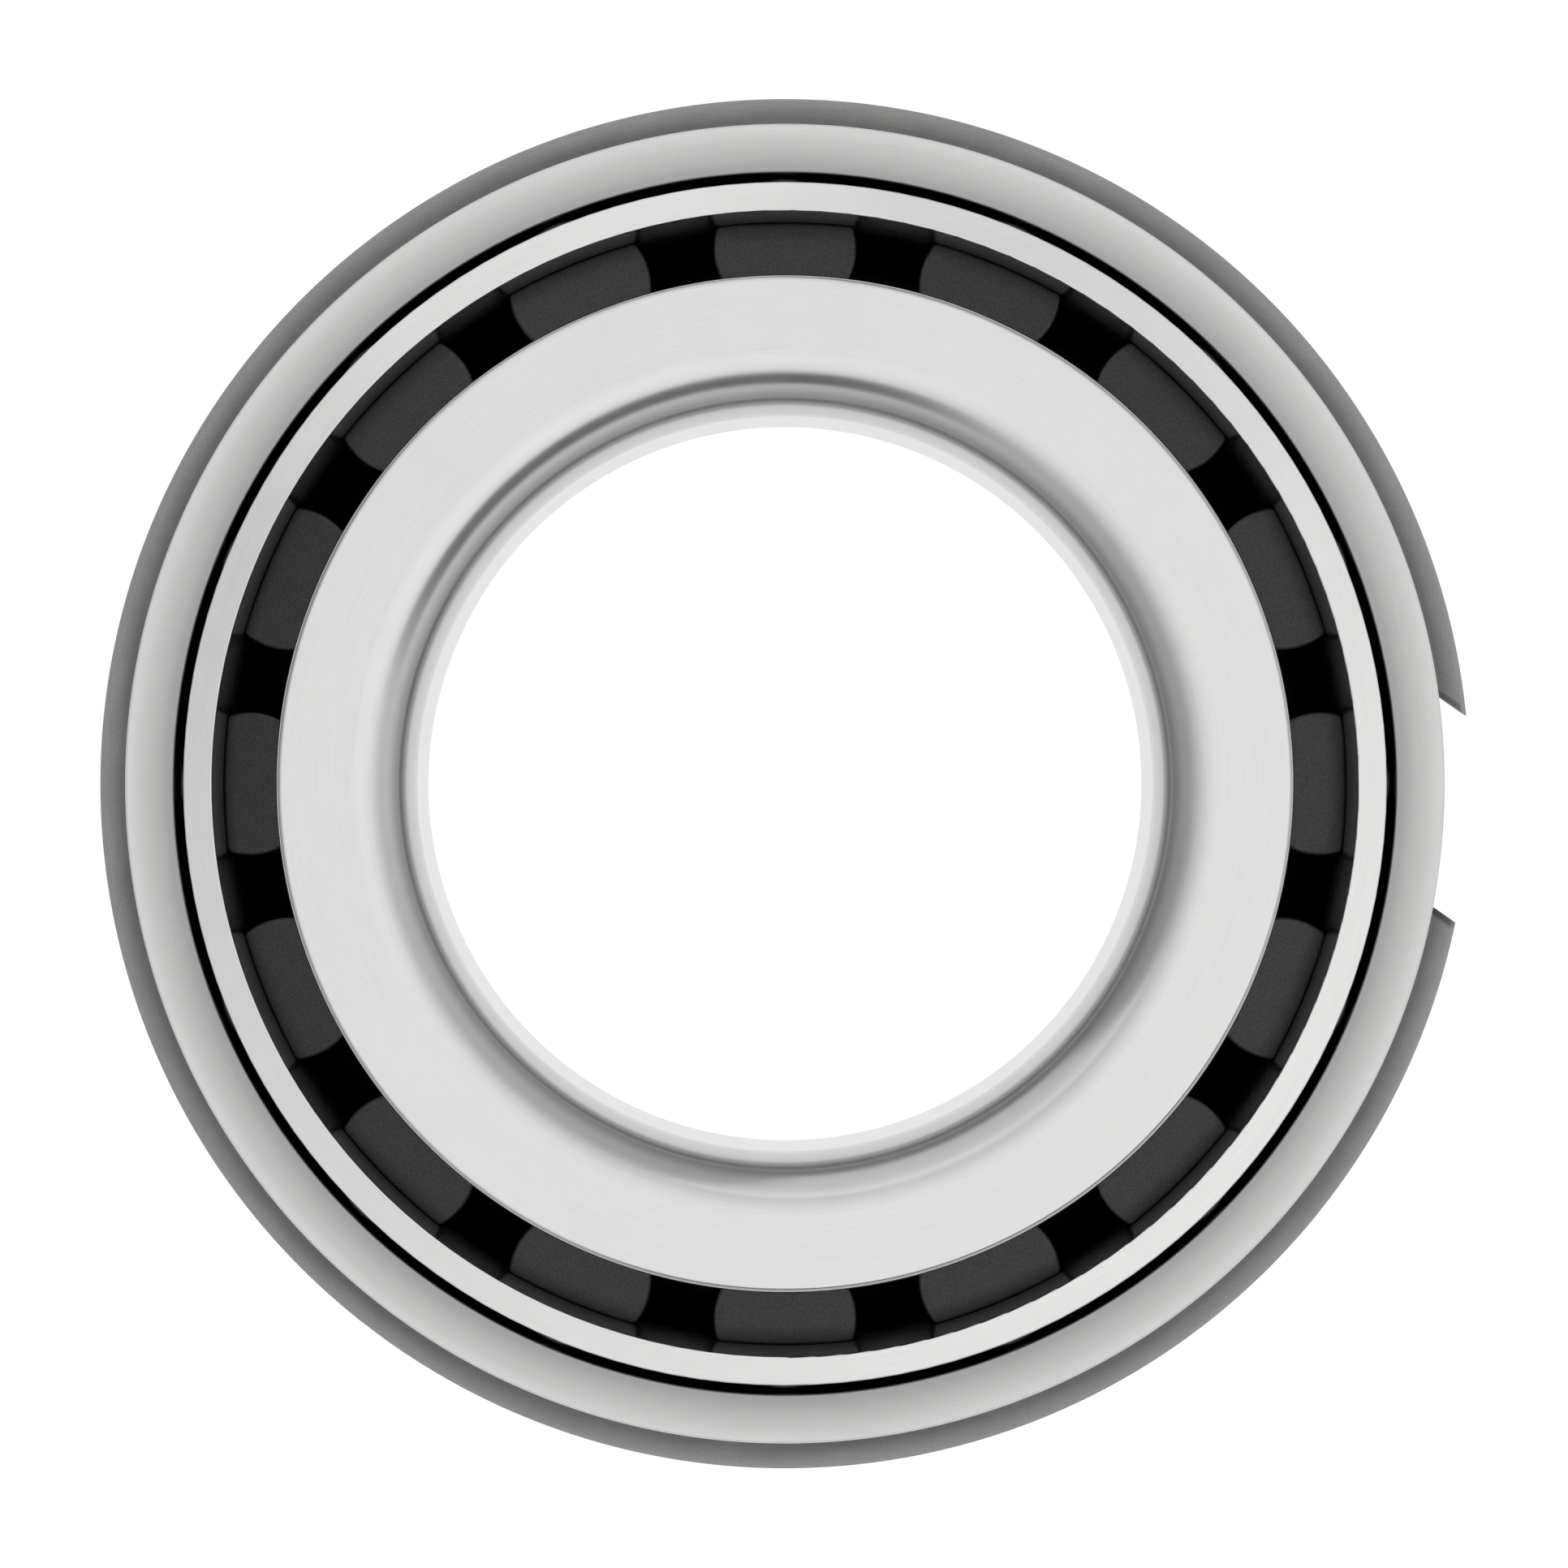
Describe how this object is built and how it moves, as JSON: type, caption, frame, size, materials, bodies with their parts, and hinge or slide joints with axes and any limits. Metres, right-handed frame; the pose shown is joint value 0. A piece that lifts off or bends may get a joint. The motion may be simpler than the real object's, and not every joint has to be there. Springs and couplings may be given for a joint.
{
  "type": "tapered roller bearing",
  "caption": "Single-row tapered roller bearing: an outer ring with a snap ring in its groove, an inner ring with ribs, and a pressed cage that holds the tapered rollers.",
  "frame": {"origin": "centre of the outer ring's back face, on the bearing's axis; the bearing lies on that face", "axes": "+Z along the bearing's axis, from the outer ring's back face to the inner ring's back face; +X through the first roller, beside the gap of the snap ring; +Y square to both"},
  "size_m": [0.0942, 0.0944, 0.0217],
  "materials": {
    "ring_steel": "fine-ground bearing steel, satin",
    "cage_steel": "pressed sheet steel, satin",
    "roller_steel": "hardened steel, dark satin",
    "snap_ring_steel": "phosphated spring steel, matt mid grey"
  },
  "bodies": {
    "outer_ring": {"outer_ring": "ring_steel"},
    "inner_ring": {"inner_ring": "ring_steel"},
    "cage": {"cage": "cage_steel"},
    "snap_ring": {"snap_ring": "snap_ring_steel"},
    "roller_01": {"roller_01": "roller_steel"},
    "roller_02": {"roller_02": "roller_steel"},
    "roller_03": {"roller_03": "roller_steel"},
    "roller_04": {"roller_04": "roller_steel"},
    "roller_05": {"roller_05": "roller_steel"},
    "roller_06": {"roller_06": "roller_steel"},
    "roller_07": {"roller_07": "roller_steel"},
    "roller_08": {"roller_08": "roller_steel"},
    "roller_09": {"roller_09": "roller_steel"},
    "roller_10": {"roller_10": "roller_steel"},
    "roller_11": {"roller_11": "roller_steel"},
    "roller_12": {"roller_12": "roller_steel"},
    "roller_13": {"roller_13": "roller_steel"},
    "roller_14": {"roller_14": "roller_steel"},
    "roller_15": {"roller_15": "roller_steel"},
    "roller_16": {"roller_16": "roller_steel"}
  },
  "joints": [
    {"name": "inner_ring_spin", "type": "hinge", "parent": "outer_ring", "child": "inner_ring", "pos_m": [0, 0, 0.01], "axis": [0, 0, 1], "continuous": true},
    {"name": "cage_spin", "type": "hinge", "parent": "outer_ring", "child": "cage", "pos_m": [0, 0, 0.01], "axis": [0, 0, 1], "continuous": true},
    {"name": "snap_ring_turn", "type": "hinge", "parent": "outer_ring", "child": "snap_ring", "pos_m": [0, 0, 0.0108], "axis": [0, 0, 1], "continuous": true},
    {"name": "roller_01_spin", "type": "hinge", "parent": "cage", "child": "roller_01", "pos_m": [0.03526, 0, 0.01048], "axis": [0.1978, 0, 0.9803], "continuous": true},
    {"name": "roller_02_spin", "type": "hinge", "parent": "cage", "child": "roller_02", "pos_m": [0.03258, 0.01349, 0.01048], "axis": [0.1827, 0.0757, 0.9803], "continuous": true},
    {"name": "roller_03_spin", "type": "hinge", "parent": "cage", "child": "roller_03", "pos_m": [0.02493, 0.02493, 0.01048], "axis": [0.1398, 0.1398, 0.9803], "continuous": true},
    {"name": "roller_04_spin", "type": "hinge", "parent": "cage", "child": "roller_04", "pos_m": [0.01349, 0.03258, 0.01048], "axis": [0.0757, 0.1827, 0.9803], "continuous": true},
    {"name": "roller_05_spin", "type": "hinge", "parent": "cage", "child": "roller_05", "pos_m": [0, 0.03526, 0.01048], "axis": [0, 0.1978, 0.9803], "continuous": true},
    {"name": "roller_06_spin", "type": "hinge", "parent": "cage", "child": "roller_06", "pos_m": [-0.01349, 0.03258, 0.01048], "axis": [-0.0757, 0.1827, 0.9803], "continuous": true},
    {"name": "roller_07_spin", "type": "hinge", "parent": "cage", "child": "roller_07", "pos_m": [-0.02493, 0.02493, 0.01048], "axis": [-0.1398, 0.1398, 0.9803], "continuous": true},
    {"name": "roller_08_spin", "type": "hinge", "parent": "cage", "child": "roller_08", "pos_m": [-0.03258, 0.01349, 0.01048], "axis": [-0.1827, 0.0757, 0.9803], "continuous": true},
    {"name": "roller_09_spin", "type": "hinge", "parent": "cage", "child": "roller_09", "pos_m": [-0.03526, 0, 0.01048], "axis": [-0.1978, 0, 0.9803], "continuous": true},
    {"name": "roller_10_spin", "type": "hinge", "parent": "cage", "child": "roller_10", "pos_m": [-0.03258, -0.01349, 0.01048], "axis": [-0.1827, -0.0757, 0.9803], "continuous": true},
    {"name": "roller_11_spin", "type": "hinge", "parent": "cage", "child": "roller_11", "pos_m": [-0.02493, -0.02493, 0.01048], "axis": [-0.1398, -0.1398, 0.9803], "continuous": true},
    {"name": "roller_12_spin", "type": "hinge", "parent": "cage", "child": "roller_12", "pos_m": [-0.01349, -0.03258, 0.01048], "axis": [-0.0757, -0.1827, 0.9803], "continuous": true},
    {"name": "roller_13_spin", "type": "hinge", "parent": "cage", "child": "roller_13", "pos_m": [0, -0.03526, 0.01048], "axis": [0, -0.1978, 0.9803], "continuous": true},
    {"name": "roller_14_spin", "type": "hinge", "parent": "cage", "child": "roller_14", "pos_m": [0.01349, -0.03258, 0.01048], "axis": [0.0757, -0.1827, 0.9803], "continuous": true},
    {"name": "roller_15_spin", "type": "hinge", "parent": "cage", "child": "roller_15", "pos_m": [0.02493, -0.02493, 0.01048], "axis": [0.1398, -0.1398, 0.9803], "continuous": true},
    {"name": "roller_16_spin", "type": "hinge", "parent": "cage", "child": "roller_16", "pos_m": [0.03258, -0.01349, 0.01048], "axis": [0.1827, -0.0757, 0.9803], "continuous": true}
  ],
  "couplings": [
    {"joint": "cage_spin", "follows": "inner_ring_spin", "ratio": 0.43305},
    {"joint": "roller_01_spin", "follows": "inner_ring_spin", "ratio": -3.595},
    {"joint": "roller_02_spin", "follows": "inner_ring_spin", "ratio": -3.595},
    {"joint": "roller_03_spin", "follows": "inner_ring_spin", "ratio": -3.595},
    {"joint": "roller_04_spin", "follows": "inner_ring_spin", "ratio": -3.595},
    {"joint": "roller_05_spin", "follows": "inner_ring_spin", "ratio": -3.595},
    {"joint": "roller_06_spin", "follows": "inner_ring_spin", "ratio": -3.595},
    {"joint": "roller_07_spin", "follows": "inner_ring_spin", "ratio": -3.595},
    {"joint": "roller_08_spin", "follows": "inner_ring_spin", "ratio": -3.595},
    {"joint": "roller_09_spin", "follows": "inner_ring_spin", "ratio": -3.595},
    {"joint": "roller_10_spin", "follows": "inner_ring_spin", "ratio": -3.595},
    {"joint": "roller_11_spin", "follows": "inner_ring_spin", "ratio": -3.595},
    {"joint": "roller_12_spin", "follows": "inner_ring_spin", "ratio": -3.595},
    {"joint": "roller_13_spin", "follows": "inner_ring_spin", "ratio": -3.595},
    {"joint": "roller_14_spin", "follows": "inner_ring_spin", "ratio": -3.595},
    {"joint": "roller_15_spin", "follows": "inner_ring_spin", "ratio": -3.595},
    {"joint": "roller_16_spin", "follows": "inner_ring_spin", "ratio": -3.595}
  ]
}
